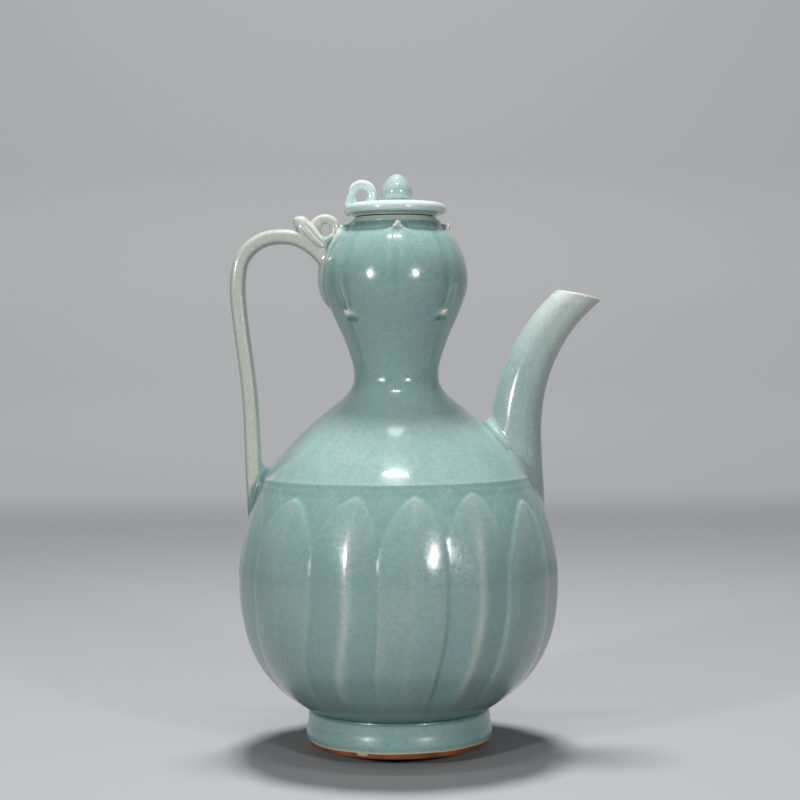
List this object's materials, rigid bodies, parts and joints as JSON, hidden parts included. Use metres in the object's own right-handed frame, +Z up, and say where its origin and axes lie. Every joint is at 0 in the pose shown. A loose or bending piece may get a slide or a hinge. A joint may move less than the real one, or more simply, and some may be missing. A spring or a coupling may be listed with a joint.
{
  "type": "gourd-shaped ewer with lid",
  "caption": "Gourd-shaped celadon stoneware ewer with lotus petals carved round the lower bulb, a curved spout, a strap handle with a cord ring, and a lift-off lid with a bud knob.",
  "frame": {"origin": "on the standing plane of the foot, under the middle of the outline from handle to spout", "axes": "+Z up along the vessel's axis of turning, +X towards the spout, -X towards the handle"},
  "size_m": [0.1846, 0.1572, 0.28],
  "materials": {
    "celadon_glaze": "glossy blue-green glaze, darker where it pools",
    "thin_pale_glaze": "glossy, thin and pale cream over edges",
    "bare_stoneware": "matt unglazed clay, fired orange-brown"
  },
  "bodies": {
    "ewer": {"foot_ring": "celadon_glaze", "lower_bulb": "celadon_glaze", "shoulder": "celadon_glaze", "upper_bulb": "celadon_glaze", "mouth_rim": "thin_pale_glaze", "spout": "celadon_glaze", "handle": "celadon_glaze", "handle_twig": "celadon_glaze", "handle_ring": "celadon_glaze", "crown_tip_1": "thin_pale_glaze", "crown_tip_2": "thin_pale_glaze", "crown_tip_3": "thin_pale_glaze", "crown_tip_4": "thin_pale_glaze", "petal_tip_1": "thin_pale_glaze", "petal_tip_2": "thin_pale_glaze", "petal_tip_3": "thin_pale_glaze", "petal_tip_4": "thin_pale_glaze"},
    "lid": {"lid_plate": "celadon_glaze", "lid_flange": "bare_stoneware", "lid_knob": "celadon_glaze", "lid_ring": "celadon_glaze"}
  },
  "joints": [
    {"name": "lid_lift", "type": "slide", "parent": "ewer", "child": "lid", "axis": [0, 0, 1], "range_m": [0, 0.06]}
  ]
}
